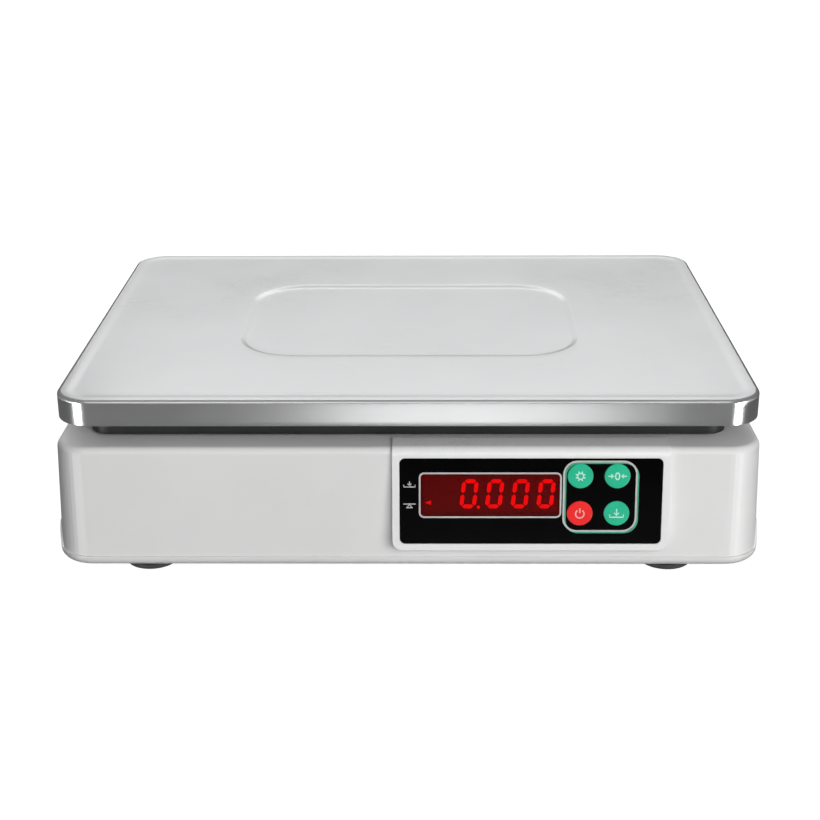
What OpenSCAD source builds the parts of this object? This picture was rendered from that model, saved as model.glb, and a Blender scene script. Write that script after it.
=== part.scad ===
// Platform shipping scale: a pressed steel pan on a cast arm and a single-point load cell,
// in a two-piece plastic base with a tilted display and key panel at the front.
// Origin: on the floor, under the middle of the pan. +X right, -Y front, +Z up. Millimetres.

/* [Pan] */
// Width of the pan, side to side
pan_w = 350; // [340:1:352]
// Depth of the pan, front to back
pan_d = 260; // [254:1:264]
// Height of the pan's skirt
pan_skirt = 13.5; // [12:0.5:15]
// Thickness of the pan's steel sheet
pan_sheet = 1; // [0.8:0.1:1.2]
// Corner radius of the pan in plan
pan_corner = 18; // [14:1:24]
// Depth of the pressed middle panel
dish_depth = 1; // [0.6:0.1:1.2]

/* [Base] */
// Width of the base at its parting line
base_w = 357; // [355:1:360]
// Depth of the base at its parting line
base_d = 270; // [268:1:274]
// Height of the base without its feet
base_h = 63.5; // [62:0.5:66]
// How much each wall of the cover leans in from bottom to top
draft = 2.4; // [1:0.1:3]
// Corner radius of the base in plan
base_corner = 19; // [14:1:24]
// Wall thickness of both plastic shells
wall = 2.5; // [2:0.1:3]
// Height of the lower shell at the sides and back
shell_rise = 17; // [16:0.5:18]
// Clear height between the base and the pan's skirt
pan_gap = 11; // [10:0.5:12]

/* [Display panel] */
// Width of the black front panel
panel_w = 129.6; // [126:0.1:132]
// Height of the black front panel along its slope
panel_h = 44; // [43:0.1:45]
// Thickness of the black front panel
panel_t = 1.2; // [1:0.1:1.4]
// Lean of the panel, back at the top, in degrees
panel_lean = 8; // [6:0.5:9]
// How far the panel's middle is to the right of the object's middle
panel_x = 61; // [56:0.5:62]
// Height of the display figures
digit_h = 15; // [13:0.1:15.4]
// Distance from one display figure to the next
digit_pitch = 12.7; // [12.4:0.1:12.8]
// Diameter of a key
key_d = 12.6; // [11:0.1:13]
// Travel of a key
key_travel = 0.5; // [0.3:0.05:0.5]

/* [Feet] */
// Height of a foot when it is screwed right in
foot_h = 8; // [7.5:0.1:9]
// Diameter of a foot's rubber pad
foot_d = 27; // [24:0.5:28]
// Distance between the feet, side to side
foot_span_x = 267; // [262:1:270]
// Distance between the feet, front to back
foot_span_y = 220; // [214:1:222]

/* [Load cell] */
// Length of the load cell bar
cell_l = 130; // [130:1:134]
// Width of the load cell bar
cell_w = 30; // [28:1:32]
// Height of the load cell bar
cell_h = 22; // [22:0.5:24]

/* [Hidden] */
$fn = 48;

// Running and assembly clearances
slip = 0.05;
loose = 0.3;

// Levels, from the floor up
base_z0 = foot_h;
floor_z = base_z0 + wall;
seam_z = base_z0 + shell_rise;
base_z1 = base_z0 + base_h;
skirt_z0 = base_z1 + pan_gap;
pan_top = skirt_z0 + pan_skirt;
pan_under = pan_top - pan_sheet;

// Base shells
edge_r = 3.5;
foot_edge_r = 4.5;
lower_step = 0.4;
front_seam_z = base_z0 + 5.5;
front_seam_y = -base_d / 2 + 10;
seam_slope = 9;
lip_h = 3;
lip_gap = draft * (shell_rise + lip_h) / base_h + loose;
post_x = base_w / 2 - 13.5;
post_ys = [-85, 0, 85];
post_r = 5;
post_joint_z = base_z0 + 12;
screw_seat_z = base_z0 + 8;
screw_r = 1.5;
screw_tip_z = post_joint_z + 14;

// Well in the cover that the cast arm passes through
well_x = 46;
well_w = 54;
well_d = 50;
well_rim = 3;

// Load path
plate_w = 176;
plate_d = 96;
plate_t = 3;
plate_boss_h = 2.5;
plate_z = floor_z + plate_boss_h;
plate_screw_x = 78;
plate_screw_y = 38;
spacer_t = 4;
cell_z = plate_z + plate_t + spacer_t;
cell_top = cell_z + cell_h;
cell_end = 38;
cell_hole_out = 8;
cell_hole_gap = 23;
cell_bore_r = 8;
m6_r = 3;
pad_h = 3.9;
carrier_t = 2;
carrier_top = pan_under - pad_h - 0.1;
carrier_w = 320;
carrier_d = 236;
carrier_corner = 10;
carrier_z0 = base_z1 + 2;
arm_foot_t = 6;
arm_wall = 5;
arm_w = 34;
flange_t = 4;
flange_w = 140;
flange_d = 92;
flange_top = carrier_top - carrier_t;
flange_screw_x = 60;
flange_screw_y = 36;
pad_x = 140;
pad_y = 100;
pad_r = 8;
pin_r = 2.5;

// Feet
foot_pad_h = 3.2;
stud_r = 4;
stud_top = base_z0 + 20;
insert_r = 6;
insert_z = base_z0 + 4;
boss_top = base_z0 + 18;
foot_x = foot_span_x / 2;
foot_y = foot_span_y / 2;

// Display panel: its own frame has +Z up the slope and -Y outwards
panel_z = base_z0 + 37.7;
panel_y = -base_d / 2 - 2.8;
rim_w = 3.4;
rim_proud = 0.6;
bezel_back = 12;
bezel_round = 4.5;
bezel_lap = 11;
bezel_skin = 0.9;
window_w = 69.6;
window_h = 22.4;
window_x = -20;
window_z = 3;
module_w = 66;
module_h = 19;
module_t = 8;
module_y = panel_t + 0.4;
board_y = module_y + module_t;
board_t = 1.6;
board_w = 122;
board_h = 39;
board_screw_x = 57.5;
board_screw_z = 16;
key_x = 33.5;
key_z = 3.3;
key_gap_x = 18.2;
key_gap_z = 19.2;
key_proud = 0.4;
switch_h = 3.5;
plunger_out = 1.4;
plunger_in = 1;
digit_slant = 6;
first_digit_x = -30.4;
bezel_screw_z = base_z0 + 20;
stroke = 2;
digit_w = 8.2;
lit_t = 0.2;

// Battery and its door
battery_x = 12;
battery_y = 52;
battery_w = 101;
battery_d = 70;
battery_h = 47;
door_w = 112;
door_d = 66;
door_x = battery_x + battery_w / 2;
door_y = battery_y + 36;

// Main board and ports
mb_x = -118;
mb_y = 62;
mb_w = 88;
mb_d = 62;
mb_z = base_z0 + 20;
mb_t = 1.6;
port_z = mb_z + mb_t + 6.3;
serial_x = -94;
jack_x = -58;
back_y = base_d / 2;
jack_screw_gap = 24.99;

// Round level under the pan's back left corner
level_x = -164;
level_y = 121;
level_r = 7;

/* ---- shared shapes ---- */

// Flat rectangle with round corners, centred
module rounded_rect(w, d, r) {
    square([w - 2 * r, d], center = true);
    square([w, d - 2 * r], center = true);
    for (x = [-1, 1], y = [-1, 1])
        translate([x * (w / 2 - r), y * (d / 2 - r)]) circle(r);
}

// Upright block with round corners, standing on z = 0
module rounded_block(w, d, r, h) {
    linear_extrude(h) rounded_rect(w, d, r);
}

// Half-section of a wall and its top edge: foot at (reach, 0), leaning in by `lean` up to a round of radius e
module wall_section(reach, h, lean, e) {
    polygon([[0, 0], [reach, 0], [reach - lean, h - e], [0, h - e]]);
    square([reach - lean - e, h]);
    translate([reach - lean - e, h - e]) circle(e);
}

// Whole section of a block, both walls
module block_section(w, h, lean, e) {
    wall_section(w / 2, h, lean, e);
    mirror([1, 0]) wall_section(w / 2, h, lean, e);
}

// Block with round corners, four leaning walls and a rounded top edge of radius e
module soft_topped_block(w, d, r, h, inset, e) {
    lean = inset * (h - e) / h;
    rotate([90, 0, 0]) linear_extrude(d - 2 * r, center = true) block_section(w, h, lean, e);
    rotate([90, 0, 90]) linear_extrude(w - 2 * r, center = true) block_section(d, h, lean, e);
    for (x = [-1, 1], y = [-1, 1])
        translate([x * (w / 2 - r), y * (d / 2 - r), 0]) rotate([0, 0, atan2(-y, -x)])
            rotate_extrude() wall_section(r, h, lean, e);
}

// Block with round corners whose four walls all lean in by `inset` from bottom to top
module tapered_block(w, d, r, h, inset) {
    rotate([90, 0, 0]) linear_extrude(d - 2 * r, center = true)
        polygon([[-w / 2, 0], [w / 2, 0], [w / 2 - inset, h], [-w / 2 + inset, h]]);
    rotate([90, 0, 90]) linear_extrude(w - 2 * r, center = true)
        polygon([[-d / 2, 0], [d / 2, 0], [d / 2 - inset, h], [-d / 2 + inset, h]]);
    for (x = [-1, 1], y = [-1, 1])
        translate([x * (w / 2 - r), y * (d / 2 - r), 0])
            cylinder(h = h, r1 = r, r2 = r - inset);
}

// Everything that belongs to the cover and not to the lower shell, seen from the side
module above_seam(shift = 0) {
    y0 = front_seam_y;
    rotate([90, 0, 90]) linear_extrude(base_w + 20, center = true)
        polygon([
            [-base_d, front_seam_z + shift], [y0, front_seam_z + shift],
            [y0 + seam_slope, seam_z + shift], [base_d, seam_z + shift],
            [base_d, pan_top], [-base_d, pan_top]
        ]);
}

// Outside of the top cover, run down to the underside of the base
module cover_outside() {
    translate([0, 0, base_z0])
        soft_topped_block(base_w, base_d, base_corner, base_h, draft, edge_r);
}

// Outside of the lower shell, run up past the seam
module shell_outside() {
    h = shell_rise + lip_h;
    translate([0, 0, base_z0 + h]) mirror([0, 0, 1])
        soft_topped_block(
            base_w + 2 * lower_step, base_d + 2 * lower_step, base_corner, h, 0, foot_edge_r
        );
}

module at_posts() {
    for (x = [-1, 1], y = post_ys) translate([x * post_x, y, 0]) children();
}

module at_feet() {
    for (x = [-1, 1], y = [-1, 1]) translate([x * foot_x, y * foot_y, 0]) children();
}

module at_plate_screws() {
    for (x = [-1, 1], y = [-1, 1]) translate([x * plate_screw_x, y * plate_screw_y, 0]) children();
}

module at_flange_screws() {
    for (x = [-1, 1], y = [-1, 1]) translate([x * flange_screw_x, y * flange_screw_y, 0]) children();
}

module at_pads() {
    for (x = [-1, 1], y = [-1, 1]) translate([x * pad_x, y * pad_y, 0]) children();
}

module at_board_screws() {
    inset = 4;
    for (x = [inset, mb_w - inset], y = [inset, mb_d - inset])
        translate([mb_x + x, mb_y + y, 0]) children();
}

// The display panel's own frame: origin in the middle of its front face
module on_panel() {
    translate([panel_x, panel_y, panel_z]) rotate([-panel_lean, 0, 0]) children();
}

// Slab of the panel's frame, from depth y0 to depth y0 + t behind the front face
module panel_slab(w, h, r, y0, t) {
    translate([0, y0 + t, 0]) rotate([90, 0, 0]) rounded_block(w, h, r, t);
}

// Round bar of the panel's frame, from depth y0 to depth y0 + t
module panel_rod(r, y0, t) {
    translate([0, y0 + t, 0]) rotate([90, 0, 0]) cylinder(h = t, r = r);
}

// Pan-headed screw, head down at z = 0 to -head, shank up
module screw_up(r, length, head_r, head_h) {
    translate([0, 0, -head_h]) cylinder(h = head_h, r = head_r);
    cylinder(h = length, r = r);
}

// Screw standing on z = 0 with its head up and its shank down
module screw_down(r, length, head_r, head_h) {
    mirror([0, 0, 1]) difference() {
        screw_up(r, length, head_r, head_h);
        translate([0, 0, -head_h]) {
            cube([head_r * 1.2, 0.8, head_h], center = true);
            cube([0.8, head_r * 1.2, head_h], center = true);
        }
    }
}

// Point at fraction t of the smooth curve from b to c, whose neighbours are a and d
function between(a, b, c, d, t) =
    0.5 * (2 * b + (c - a) * t + (2 * a - 5 * b + 4 * c - d) * t * t + (3 * b - a - 3 * c + d) * t * t * t);

// Smooth route through the points, with `steps` pieces from each to the next
function route(points, steps) = [
    for (i = [0 : len(points) - 2], k = [0 : steps - 1])
        between(
            points[max(i - 1, 0)], points[i], points[i + 1],
            points[min(i + 2, len(points) - 1)], k / steps
        ),
    points[len(points) - 1]
];

function unit(v) = v / norm(v);

// Round wire of radius r along a smooth route through the points
module wire(points, r, steps = 4, sides = 10) {
    path = route(points, steps);
    last = len(path) - 1;
    aside = [0.13, 0.27, 0.05];
    rings = [
        for (i = [0 : last]) let (
            along = unit(path[min(i + 1, last)] - path[max(i - 1, 0)]),
            u = unit(cross(along, aside)),
            v = cross(along, u)
        ) for (k = [0 : sides - 1])
            path[i] + r * (cos(k * 360 / sides) * u + sin(k * 360 / sides) * v)
    ];
    skin = [
        for (i = [0 : last - 1], k = [0 : sides - 1]) let (n = (k + 1) % sides)
            [i * sides + k, i * sides + n, (i + 1) * sides + n, (i + 1) * sides + k]
    ];
    ends = [
        [for (k = [0 : sides - 1]) sides - 1 - k],
        [for (k = [0 : sides - 1]) last * sides + k]
    ];
    polyhedron(rings, concat(skin, ends));
}

/* ---- base ---- */

// Lower shell: floor, low walls, screw tubes, foot bosses and the battery opening
module bottom_shell() {
    color("whitesmoke") difference() {
        union() {
            difference() {
                shell_outside();
                above_seam();
                translate([0, 0, floor_z])
                    rounded_block(base_w - 2 * wall, base_d - 2 * wall, base_corner - wall, base_h);
            }
            // lip that locates the cover from the inside
            difference() {
                translate([0, 0, floor_z])
                    rounded_block(
                        base_w - 2 * (wall + lip_gap), base_d - 2 * (wall + lip_gap),
                        base_corner - wall - lip_gap, seam_z + lip_h - floor_z
                    );
                translate([0, 0, floor_z - 1])
                    rounded_block(
                        base_w - 4 * wall, base_d - 4 * wall, base_corner - 2 * wall, base_h
                    );
                above_seam(lip_h);
                // the lip stops short of the display and of the ports
                translate([panel_x, -base_d / 2, seam_z]) cube([panel_w + 12, 30, 40], center = true);
                translate([mb_x + mb_w / 2, back_y, seam_z]) cube([mb_w + 8, 30, 40], center = true);
            }
            at_posts() translate([0, 0, floor_z]) cylinder(h = post_joint_z - floor_z, r = post_r);
            at_feet() translate([0, 0, floor_z]) cylinder(h = boss_top - floor_z, r = insert_r + 3);
            at_plate_screws() translate([0, 0, floor_z]) cylinder(h = plate_boss_h, r = 6);
            at_board_screws() translate([0, 0, floor_z]) cylinder(h = mb_z - floor_z, r = 3.5);
            // stiffening ribs across the floor
            for (y = [-96, -62]) translate([0, y, floor_z + 2]) cube([290, 2, 4], center = true);
            for (x = [-122, 122]) translate([x, 0, floor_z + 2]) cube([2, 180, 4], center = true);
        }
        at_posts() {
            translate([0, 0, base_z0 - 1]) cylinder(h = screw_seat_z - base_z0 + 1, r = 3.6);
            translate([0, 0, base_z0]) cylinder(h = base_h, r = screw_r + 0.3);
        }
        at_feet() {
            translate([0, 0, base_z0 - 1]) cylinder(h = base_h, r = stud_r + 0.5);
            translate([0, 0, insert_z]) cylinder(h = base_h, r = insert_r + slip);
        }
        at_plate_screws() translate([0, 0, base_z0 + 1.2]) cylinder(h = base_h, r = 2);
        at_board_screws() translate([0, 0, floor_z + 4]) cylinder(h = base_h, r = 1.3);
        // battery opening, with a ledge that the door sits on from below
        translate([door_x, door_y, base_z0 - 1]) rounded_block(door_w - 8, door_d - 8, 3, 10);
        translate([door_x, door_y, base_z0 - 1]) rounded_block(door_w, door_d, 4, 1 + 1.5);
        for (x = [-1, 1]) translate([door_x + x * (door_w / 2 - 2.2), door_y, base_z0]) cylinder(h = 10, r = 1);
    }
}

// Top cover: deep shell with the arm's well, screw posts, and openings for display and ports
module top_cover() {
    color("whitesmoke") difference() {
        union() {
            difference() {
                intersection() {
                    cover_outside();
                    above_seam();
                }
                translate([0, 0, base_z0])
                    tapered_block(
                        base_w - 2 * wall, base_d - 2 * wall, base_corner - wall,
                        base_h - wall, draft * (base_h - wall) / base_h
                    );
            }
            at_posts() translate([0, 0, post_joint_z])
                cylinder(h = base_z1 - wall / 2 - post_joint_z, r = post_r - 0.5);
            translate([well_x, 0, base_z1 - wall])
                rounded_block(well_w + 2 * wall, well_d + 2 * wall, 6, wall + well_rim);
            // ribs under the top
            for (y = [-70, 70]) translate([0, y, base_z1 - wall - 2]) cube([300, 2, 5], center = true);
            for (x = [-70, 90]) translate([x, 0, base_z1 - wall - 2]) cube([2, 200, 5], center = true);
        }
        translate([well_x, 0, base_z1 - 20]) rounded_block(well_w, well_d, 4, 40);
        at_posts() translate([0, 0, post_joint_z - 1]) cylinder(h = 22, r = screw_r + slip);
        // opening behind the display, clear of the upper keys' flanges
        on_panel() panel_slab(board_w + 3, board_h + 2, 3, -20, 60);
        // notches round the webs that tie the display board's posts to the bezel
        on_panel() at_panel_posts() post_web(0.3);
        // holes for the two bezel screws
        at_bezel_screws() cylinder(h = 20, r = 1.5, center = true);
        // serial port and power jack openings
        translate([serial_x, back_y, port_z]) rotate([90, 0, 0])
            linear_extrude(20, center = true) serial_outline(0.3);
        for (x = [-1, 1]) translate([serial_x + x * jack_screw_gap / 2, back_y, port_z]) rotate([90, 0, 0])
            cylinder(h = 20, r = 1.7, center = true);
        translate([jack_x, back_y, port_z - 0.8]) cube([9.6, 20, 11.6], center = true);
        translate([level_x, level_y, base_z1 - 1.2]) cylinder(h = 5, r = level_r + slip);
    }
}

// Self-tapping screws that hold the cover, up through the lower shell
module cover_screws() {
    color("silver") at_posts() translate([0, 0, screw_seat_z]) difference() {
        screw_up(screw_r, screw_tip_z - screw_seat_z, 3.2, 2.2);
        translate([0, 0, -2.2]) {
            cube([4, 0.8, 2], center = true);
            cube([0.8, 4, 2], center = true);
        }
    }
}

/* ---- display and keys ---- */

module at_bezel_screws() {
    for (x = [-1, 1]) translate([panel_x + x * 65, -base_d / 2, bezel_screw_z]) rotate([90, 0, 0]) children();
}

// White frame round the black panel: a wedge on the cover's front that hooks over its top edge
module display_bezel() {
    outer_w = panel_w + 2 * rim_w + 0.6;
    outer_h = panel_h + 2 * rim_w + 0.4;
    outward = [-cos(panel_lean), sin(panel_lean)];
    upward = [sin(panel_lean), cos(panel_lean)];
    // middle of the round that turns from the leaning face to the flat tongue, seen from the side
    bend_z = base_z1 + bezel_skin - bezel_round;
    rise = (bend_z - panel_z + (bezel_round - rim_proud) * sin(panel_lean)) / cos(panel_lean);
    bend = [panel_y, panel_z] + rise * upward - (bezel_round - rim_proud) * outward;
    face_top = bend + bezel_round * outward;
    drop = (rise + outer_h) * upward;
    color("white") difference() {
        intersection() {
            translate([panel_x, 0, 0]) rotate([90, 0, 90]) linear_extrude(outer_w + 20, center = true) {
                translate(bend) circle(bezel_round);
                translate(bend) square([bezel_lap, bezel_round]);
                polygon([
                    face_top, face_top - drop,
                    face_top - drop - bezel_back * outward, face_top - bezel_back * outward
                ]);
            }
            on_panel() translate([0, 0, 20]) panel_slab(outer_w, outer_h + 40, 5, -6, 40);
        }
        cover_outside();
        // seat for the black panel, and the opening behind it
        on_panel() {
            panel_slab(panel_w + 0.2, panel_h + 0.2, 2.8, -5, 5 + panel_t);
            panel_slab(board_w + 2, panel_h - 3, 2, -5, 40);
        }
        at_bezel_screws() cylinder(h = 8.6, r = 1.2 + slip, center = true);
    }
    // posts that carry the display board
    color("white") on_panel() at_panel_posts() difference() {
        union() {
            panel_rod(2.8, panel_t, board_y - panel_t);
            post_web(0);
        }
        panel_rod(1.05, board_y - 6, 10);
    }
}

// Web from a display board post to the bezel's frame, made larger all round by room
module post_web(room) {
    translate([0, panel_t + 1, 0]) cube([4 + 2 * room, 2 + 2 * room, 10 + 2 * room], center = true);
}

module at_panel_posts() {
    for (x = [-1, 1], z = [-1, 1]) translate([x * board_screw_x, 0, z * board_screw_z]) children();
}

// Two screws through the cover's front wall into the thick foot of the bezel
module bezel_screws() {
    // clears the leaning wall at the head's upper edge
    inner_face = -wall - draft * (bezel_screw_z + 3 - base_z0) / base_h - 0.02;
    color("silver") at_bezel_screws() translate([0, 0, inner_face]) {
        cylinder(h = 7, r = 1.2);
        translate([0, 0, -1.6]) cylinder(h = 1.6, r = 2.4);
    }
}

// Black panel with the display window and four key holes
module front_panel() {
    color("black") on_panel() difference() {
        panel_slab(panel_w, panel_h, 2.7, 0, panel_t);
        translate([window_x, 0, window_z]) panel_slab(window_w, window_h, 2, -1, 4);
        for (i = [0 : 3]) at_key(i) panel_rod(key_d / 2 + 0.15, -1, 4);
    }
}

// Dark red window, flush in the black panel
module display_window() {
    color("darkred") on_panel() translate([window_x, 0, window_z])
        panel_slab(window_w - 2 * slip, window_h - 2 * slip, 1.95, 0.05, panel_t - 0.05);
}

// Five-figure light-emitting display
module led_module() {
    color("dimgray") on_panel() translate([window_x + 0.3, 0, window_z + 0.4]) {
        panel_slab(module_w, module_h, 0.5, module_y + lit_t, module_t - lit_t);
    }
}

// Point of a figure, leaned to the right with height
function leaned(p) = [p.x + p.y * tan(digit_slant), p.y];

// One straight stroke of a figure, pointed at both ends, from a to b
module lit_stroke(a, b) {
    along = (b - a) / norm(b - a);
    across = [-along.y, along.x] * stroke / 2;
    gap = along * 0.35;
    tip = along * stroke / 2;
    polygon([
        for (p = [a + gap, a + gap + tip + across, b - gap - tip + across,
                  b - gap, b - gap - tip - across, a + gap + tip - across]) leaned(p)
    ]);
}

// A nought: six of the seven strokes
module lit_nought() {
    w = (digit_w - stroke) / 2;
    h = (digit_h - stroke) / 2;
    corners = [[-w, -h], [-w, 0], [-w, h], [w, h], [w, 0], [w, -h]];
    for (i = [0 : 5]) lit_stroke(corners[i], corners[(i + 1) % 6]);
}

// Lit strokes of 0.000 and the small steady-weight arrow
module led_segments() {
    color("red") on_panel() translate([0, module_y + lit_t, window_z + 0.4]) rotate([90, 0, 0])
        linear_extrude(lit_t) {
            for (i = [0 : 3]) translate([first_digit_x + i * digit_pitch, 0]) lit_nought();
            translate([first_digit_x + digit_w / 2 + 0.6, -digit_h / 2 + 0.6]) circle(0.8);
            translate([-50.6, -4.6]) polygon([[-1.6, 0], [1.4, 1.1], [1.4, -1.1]]);
        }
}

// Circuit board behind the display and the keys
module display_board() {
    color("darkgreen") on_panel() difference() {
        panel_slab(board_w, board_h, 1.5, board_y, board_t);
        at_panel_posts() panel_rod(1.3, board_y - 1, 4);
    }
}

module display_board_screws() {
    color("silver") on_panel() at_panel_posts() difference() {
        union() {
            panel_rod(1, board_y - 4, 4 + board_t);
            panel_rod(2.2, board_y + board_t, 1.6);
        }
        translate([0, board_y + board_t + 1.6, 0]) {
            cube([3, 1.4, 0.6], center = true);
            cube([0.6, 1.4, 3], center = true);
        }
    }
}

// Key number i: 0 and 1 in the top row, 2 and 3 in the bottom row
module at_key(i) {
    translate([
        key_x + (i % 2 - 0.5) * key_gap_x, 0, key_z + (0.5 - floor(i / 2)) * key_gap_z
    ]) children();
}

// Housings of the four push switches, each with the well of its plunger
module key_switches() {
    color("dimgray") on_panel() for (i = [0 : 3]) at_key(i) difference() {
        panel_slab(6, 6, 0.3, board_y - switch_h, switch_h);
        panel_rod(1.8, board_y - switch_h - 1, 1 + plunger_in + key_travel + 0.5);
    }
}

// Key: a cap in the panel's hole, a retaining flange behind it and a stem to the switch
module key_cap(i) {
    on_panel() at_key(i) {
        panel_rod(key_d / 2, -key_proud, key_proud + panel_t + 0.2);
        panel_rod(key_d / 2 + 0.8, panel_t + 0.2, 0.8);
        panel_rod(2, panel_t + 1, board_y - switch_h - plunger_out - panel_t - 1);
    }
}

// Plunger of switch number i, which moves with its key
module plunger(i) {
    color("black") on_panel() at_key(i) panel_rod(1.7, board_y - switch_h - plunger_out, plunger_out + plunger_in);
}

module key_set() { color("mediumseagreen") key_cap(0); }
module key_zero() { color("mediumseagreen") key_cap(1); }
module key_power() { color("red") key_cap(2); }
module key_tare() { color("mediumseagreen") key_cap(3); }
module plunger_set() { plunger(0); }
module plunger_zero() { plunger(1); }
module plunger_power() { plunger(2); }
module plunger_tare() { plunger(3); }

/* ---- load path ---- */

// Steel plate that ties the load cell to the lower shell
module base_plate() {
    color("silver") translate([0, 0, plate_z]) difference() {
        rounded_block(plate_w, plate_d, 8, plate_t);
        at_plate_screws() cylinder(h = 20, r = 2.2, center = true);
        for (x = [0, 1]) translate([-cell_l / 2 + cell_hole_out + x * cell_hole_gap, 0, 0])
            cylinder(h = 20, r = m6_r + 0.3, center = true);
        for (y = [-1, 1]) translate([54, y * 8, 0]) cylinder(h = 20, r = 2.5 + slip, center = true);
        for (y = [-1, 1]) translate([0, y * 36, -5]) rounded_block(100, 12, 5.9, 20);
    }
}

module base_plate_screws() {
    color("silver") at_plate_screws() translate([0, 0, plate_z + plate_t]) screw_down(1.9, 6.6, 3.5, 2.4);
}

// Block that lifts the load cell's fixed end off the plate
module cell_spacer() {
    color("lightgray") translate([-cell_l / 2 + cell_end / 2, 0, plate_z + plate_t]) difference() {
        rounded_block(cell_end, cell_w, 1, spacer_t);
        for (x = [0, 1]) translate([cell_hole_out + x * cell_hole_gap - cell_end / 2, 0, 0])
            cylinder(h = 20, r = m6_r + 0.3, center = true);
    }
}

// Single-point load cell: aluminium bar with two joined cross bores
module load_cell() {
    color("gainsboro") translate([0, 0, cell_z]) difference() {
        rounded_block(cell_l, cell_w, 1, cell_h);
        for (x = [-1, 1]) translate([x * 13, 0, cell_h / 2]) rotate([90, 0, 0])
            cylinder(h = cell_w + 2, r = cell_bore_r, center = true);
        translate([0, 0, cell_h / 2]) cube([26, cell_w + 2, 5], center = true);
        for (x = [0, 1]) {
            translate([-cell_l / 2 + cell_hole_out + x * cell_hole_gap, 0, -1])
                cylinder(h = 13, r = m6_r + slip);
            translate([cell_l / 2 - cell_hole_out - x * cell_hole_gap, 0, cell_h - 12])
                cylinder(h = 13, r = m6_r + slip);
        }
    }
}

// Two screws from under the plate into the load cell's fixed end
module cell_screws() {
    color("dimgray") for (x = [0, 1])
        translate([-cell_l / 2 + cell_hole_out + x * cell_hole_gap, 0, plate_z]) difference() {
            screw_up(m6_r, plate_t + spacer_t + 10, 5, 2.3);
            translate([0, 0, -2.3]) cylinder(h = 3, r = 2, center = true, $fn = 6);
        }
}

// Two set screws that stop the load cell's free end if the scale is overloaded
module overload_stops() {
    top = cell_z - 0.6;
    color("dimgray") for (y = [-1, 1]) translate([54, y * 8, 0]) {
        translate([0, 0, plate_z]) cylinder(h = top - plate_z, r = 2.5);
        translate([0, 0, plate_z + plate_t]) cylinder(h = 2.6, r = 4.6, $fn = 6);
    }
}

// Cast arm on the load cell's free end, with two gusset ribs under its flange
module load_arm() {
    foot_x = cell_l / 2 - cell_end / 2;
    wall_h = flange_top - flange_t - cell_top - arm_foot_t;
    rib_h = 8;
    color("lightgray") difference() {
        union() {
            translate([foot_x, 0, cell_top]) rounded_block(cell_end, arm_w, 2, arm_foot_t);
            for (y = [-1, 1]) translate([foot_x, y * (arm_w - arm_wall) / 2, cell_top + arm_foot_t])
                translate([0, 0, wall_h / 2]) cube([cell_end, arm_wall, wall_h], center = true);
            translate([0, 0, flange_top - flange_t]) rounded_block(flange_w, flange_d, 10, flange_t);
            for (y = [-1, 1])
                translate([-10, y * (arm_w - arm_wall) / 2, flange_top - flange_t - rib_h / 2])
                    cube([110, arm_wall, rib_h], center = true);
        }
        for (x = [0, 1]) translate([cell_l / 2 - cell_hole_out - x * cell_hole_gap, 0, cell_top])
            cylinder(h = 30, r = m6_r + 0.3, center = true);
        // opening over the screws, and two lightening holes
        translate([foot_x, 0, flange_top]) rounded_block_cut(34, 20);
        translate([-38, 0, flange_top]) rounded_block_cut(34, 20);
        at_flange_screws() translate([0, 0, flange_top - 10]) cylinder(h = 20, r = 2.5 + slip);
    }
}

// Cutter for a round-cornered opening through a thin plate
module rounded_block_cut(w, d) {
    translate([0, 0, -10]) rounded_block(w, d, 4, 20);
}

// Two cap screws from the arm down into the load cell's free end
module arm_screws() {
    color("dimgray") for (x = [0, 1])
        translate([cell_l / 2 - cell_hole_out - x * cell_hole_gap, 0, cell_top + arm_foot_t]) difference() {
            mirror([0, 0, 1]) screw_up(m6_r, arm_foot_t + 10, 5, 6);
            translate([0, 0, 6]) cylinder(h = 6, r = 2.9, center = true, $fn = 6);
        }
}

// Black pressed-steel carrier under the pan, open in its four quarters
module pan_carrier() {
    h = carrier_top - carrier_z0;
    color("black") difference() {
        translate([0, 0, carrier_z0]) soft_topped_block(carrier_w, carrier_d, carrier_corner, h, 0, 3);
        translate([0, 0, carrier_z0 - 1])
            rounded_block(
                carrier_w - 2 * carrier_t, carrier_d - 2 * carrier_t,
                carrier_corner - carrier_t, h + 1 - carrier_t
            );
        for (x = [-1, 1]) translate([x * 108, 0, carrier_top]) rounded_block_cut(56, 120);
        for (y = [-1, 1]) translate([0, y * 84, carrier_top]) rounded_block_cut(120, 36);
        at_flange_screws() translate([0, 0, carrier_top - 5]) cylinder(h = 20, r = 2.8);
        at_pads() translate([0, 0, carrier_top - 5]) cylinder(h = 20, r = 3 + slip);
    }
}

module carrier_screws() {
    color("silver") at_flange_screws() translate([0, 0, carrier_top]) screw_down(2.5, 6.5, 4.4, 2);
}

// Rubber buttons that the pan stands on, each with a hole for a locating pin
module pan_pads() {
    color("dimgray") at_pads() difference() {
        union() {
            translate([0, 0, carrier_top]) cylinder(h = pad_h, r = pad_r);
            translate([0, 0, carrier_top - carrier_t - 1.5]) cylinder(h = 4, r = 3);
        }
        translate([0, 0, carrier_top + 0.8]) cylinder(h = 10, r = pin_r + 0.1);
    }
}

/* ---- pan ---- */

// Shallow pressed hollow: wide face on z = 0, sloping in as it goes down by `deep`
module dish(w, d, r, deep, slope) {
    mirror([0, 0, 1]) tapered_block(w, d, r, deep, slope);
}

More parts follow.
